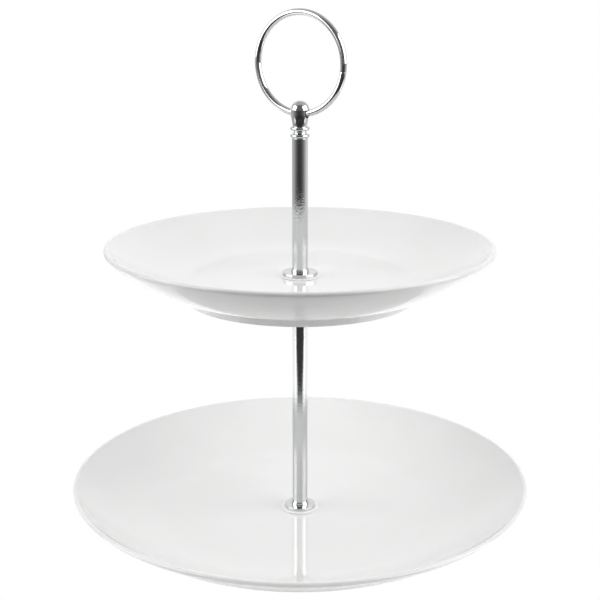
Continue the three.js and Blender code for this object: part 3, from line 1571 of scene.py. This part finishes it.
@dataclass(frozen=True)
class SoftBox:
    """Soft light that faces the foot of the ring.

    Attributes:
        azimuth: Where it hangs, in degrees to the right of the camera's side.
        elevation: How high it hangs over the ring's foot, in degrees.
    """

    name: str
    azimuth: float
    elevation: float
    size: Point


@dataclass
class Studio:
    """Pale table, soft light and the camera.

    Attributes:
        walls: Light of the room by bearing, 0 on the camera's side and 1 behind the stand.
        ceiling_edge: Height of the direction at which the walls turn into the ceiling.
        ceiling_lift: How much higher that is for each unit towards the camera's side.
        glint_radiance: Light that each softbox has more in a reflection.
        glint_offset: How far behind a softbox the lamp for that hangs.
    """

    camera_distance: float = 619.4 * MM
    camera_height: float = 302.9 * MM
    camera_pitch: float = 15.28
    lens: float = 70.61
    table_size: float = 8.0
    table_height: float = -0.2 * MM
    walls: Stops = (
        (0.0, 0.15), (0.22, 0.17), (0.34, 0.3), (0.5, 0.5), (0.62, 0.65), (0.8, 0.75), (1.0, 1.0)
    )
    ceiling: Colour = (0.57, 0.57, 0.57, 1)
    ceiling_edge: Point = (0.5, 0.92)
    ceiling_lift: float = 0.6
    softboxes: tuple[SoftBox, ...] = (
        SoftBox("softbox_right", azimuth=70.0, elevation=23.5, size=(1.27, 0.97)),
        SoftBox("softbox_left", azimuth=-76.0, elevation=21.7, size=(1.04, 0.91)),
    )
    softbox_distance: float = 1.1
    softbox_radiance: float = 2.15
    glint_radiance: float = 1.0
    glint_offset: float = 10 * MM
    toplight_radiance: float = 0.9
    toplight_height: float = 1.6
    toplight_size: Point = (1.2, 1.2)

    def camera(self) -> None:
        """Sets up the camera in front of the stand."""
        camera = added(
            "studio_camera",
            bpy.ops.object.camera_add,
            location=(0, -self.camera_distance, self.camera_height),
            rotation=(math.radians(90 - self.camera_pitch), 0, 0),
        )
        camera.data.lens = self.lens
        camera.data.sensor_width = 36
        camera.data.clip_start = 0.01
        camera.data.clip_end = 50
        bpy.context.scene.camera = camera

    def world(self) -> None:
        """Lights the room: white behind, grey above, dark on the camera's side, white to the camera."""
        world = bpy.data.worlds.new("paper_room")
        world.use_nodes = True
        bpy.context.scene.world = world
        wire = Wiring(world.node_tree)
        way = wire.add("SeparateXYZ", Vector=wire.add("TexCoord").outputs["Generated"])
        lift = wire.math("MULTIPLY", wire.math("MINIMUM", way.outputs["Y"], 0.0), self.ceiling_lift)
        above = wire.spread(wire.math("ADD", way.outputs["Z"], lift), self.ceiling_edge)
        room = wire.blend(above, wire.ramp(wire.bearing(way), self.walls), self.ceiling)
        lit = wire.add("Background", Color=room, Strength=1.0)
        paper = wire.add("Background", Color=WHITE, Strength=1.0)
        seen = wire.add("LightPath").outputs["Is Camera Ray"]
        wire.surface(wire.either(seen, lit, paper), "OutputWorld")

    def table(self) -> None:
        """Lays the pale table."""
        table = added(
            "studio_table",
            bpy.ops.mesh.primitive_plane_add,
            size=self.table_size,
            location=(0, 0, self.table_height),
        )
        bpy.ops.object.transform_apply(location=True)
        table.data.materials.append(TablePaper().build())

    def lamp(self, name: str, place: Sequence[float], size: Point, radiance: float) -> Object:
        """Hangs an even rectangular lamp that the camera doesn't see, facing down.

        Args:
            name: Name of the lamp.
            place: Where it hangs.
            size: Its width and height.
            radiance: How bright its face is.

        Returns:
            The lamp.
        """
        light = added(name, bpy.ops.object.light_add, type="AREA", location=place)
        light.data.shape = "RECTANGLE"
        light.data.size, light.data.size_y = size
        light.data.energy = radiance * math.pi * size[0] * size[1]
        light.visible_camera = False
        return light

    def hang(self, box: SoftBox) -> None:
        """Hangs a softbox, and behind it the lamp that only brightens its reflections.

        Args:
            box: The softbox.
        """
        around, up = math.radians(box.azimuth), math.radians(box.elevation)
        way = Vector((math.sin(around) * math.cos(up), -math.cos(around) * math.cos(up), math.sin(up)))
        target = Vector((0, 0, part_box("ring_handle")[0].z))
        near = target + way * self.softbox_distance
        far = near + way * self.glint_offset
        light = self.lamp(box.name, near, box.size, self.softbox_radiance)
        glint = self.lamp(f"{box.name}_glint", far, box.size, self.glint_radiance)
        glint.visible_diffuse = False
        for lamp in (light, glint):
            lamp.rotation_euler = way.to_track_quat("Z", "Y").to_euler()

    def build(self) -> None:
        """Sets up the whole studio, with a soft light above that doesn't show in the chrome."""
        bpy.context.scene.view_settings.view_transform = "Standard"
        self.camera()
        self.world()
        self.table()
        for box in self.softboxes:
            self.hang(box)
        above = (0, 0, self.toplight_height)
        toplight = self.lamp("softbox_top", above, self.toplight_size, self.toplight_radiance)
        toplight.visible_glossy = False


# ---- the stand


@dataclass
class SubAssembly:
    """Pieces that move together on one body."""

    body: Body

    def pieces(self) -> list[Part]:
        """Lists the pieces, from the table up."""
        raise NotImplementedError

    def build(self, finishes: Finishes) -> None:
        """Builds and dresses every piece.

        Args:
            finishes: The stand's finishes.
        """
        for part in self.pieces():
            piece = part.build(finishes)
            log.info("%s on %s: %d faces", piece.name, self.body.value, len(piece.data.polygons))


@dataclass
class Tier(SubAssembly):
    """Plate between its two soft washers, sized as in CoupePlate.

    Attributes:
        side: Which tier it is, as its nodes' names begin.
    """

    side: str
    well_radius: float
    foot_radius: float
    foot_height: float
    wall_slope: float
    wall_reach: float

    def pieces(self) -> list[Part]:
        """Lists the plate and its washers.

        Returns:
            The lower washer, the plate and the upper washer.
        """
        upper_washer = SoftWasher(f"{self.side}_top_washer", self.body)
        plate = CoupePlate(
            node=f"{self.side}_plate",
            body=self.body,
            washer=upper_washer.node,
            well_radius=self.well_radius,
            foot_radius=self.foot_radius,
            foot_height=self.foot_height,
            wall_slope=self.wall_slope,
            wall_reach=self.wall_reach,
        )
        return [SoftWasher(f"{self.side}_bottom_washer", self.body), plate, upper_washer]


@dataclass
class LowerTier(Tier):
    """The larger plate, which stands on the table."""

    body: Body = Body.BASE
    side: str = "lower"
    well_radius: float = 72 * MM
    foot_radius: float = 77 * MM
    foot_height: float = 2.8 * MM
    wall_slope: float = 10.0
    wall_reach: float = 0.27


@dataclass
class UpperTier(Tier):
    """The smaller plate, which can be turned on the column."""

    body: Body = Body.UPPER_TIER
    side: str = "upper"
    well_radius: float = 58 * MM
    foot_radius: float = 63.5 * MM
    foot_height: float = 3.65 * MM
    wall_slope: float = 15.0
    wall_reach: float = 0.53


@dataclass
class Column(SubAssembly):
    """Tube between the plates with its screw, bushes and flanges."""

    body: Body = Body.COLUMN

    def pieces(self) -> list[Part]:
        """Lists the screw, washer, flanges, tube and bushes."""
        return [
            PanHeadScrew("base_screw", self.body),
            SteelWasher("base_steel_washer", self.body),
            Flange("lower_top_flange", self.body, "column_tube"),
            ChromeTube("column_tube", self.body),
            TappedBush("column_bottom_bush", self.body),
            TappedBush("column_top_bush", self.body),
            Flange("upper_bottom_flange", self.body, "column_tube", facing=-1),
        ]


@dataclass
class Collar(SubAssembly):
    """Flange under the handle, which turns with it."""

    body: Body = Body.COLLAR

    def pieces(self) -> list[Part]:
        """Lists the flange."""
        return [Flange("upper_top_flange", self.body, "handle_tube")]


@dataclass
class Handle(SubAssembly):
    """Handle tube with its stud, bush and acorn knob; it screws down on the upper tier."""

    body: Body = Body.HANDLE

    def pieces(self) -> list[Part]:
        """Lists the stud, bush, tube and knob."""
        return [
            HeadlessStud("handle_stud", self.body),
            TappedBush("handle_bush", self.body),
            ChromeTube("handle_tube", self.body),
            AcornKnob("finial_knob", self.body, "handle_tube", "ring_handle"),
        ]


@dataclass
class CarryingRing(SubAssembly):
    """Wire ring that swings in the knob."""

    body: Body = Body.RING

    def pieces(self) -> list[Part]:
        """Lists the ring."""
        return [WireRing("ring_handle", self.body)]


def main() -> None:
    """Builds the stand in order, then the studio round it."""
    logging.basicConfig(level=logging.INFO, format="%(name)s: %(message)s")
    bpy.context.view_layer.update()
    finishes = Finishes()
    for part in (LowerTier(), Column(), UpperTier(), Collar(), Handle(), CarryingRing()):
        part.build(finishes)
    Studio().build()


if __name__ == "__main__":
    main()
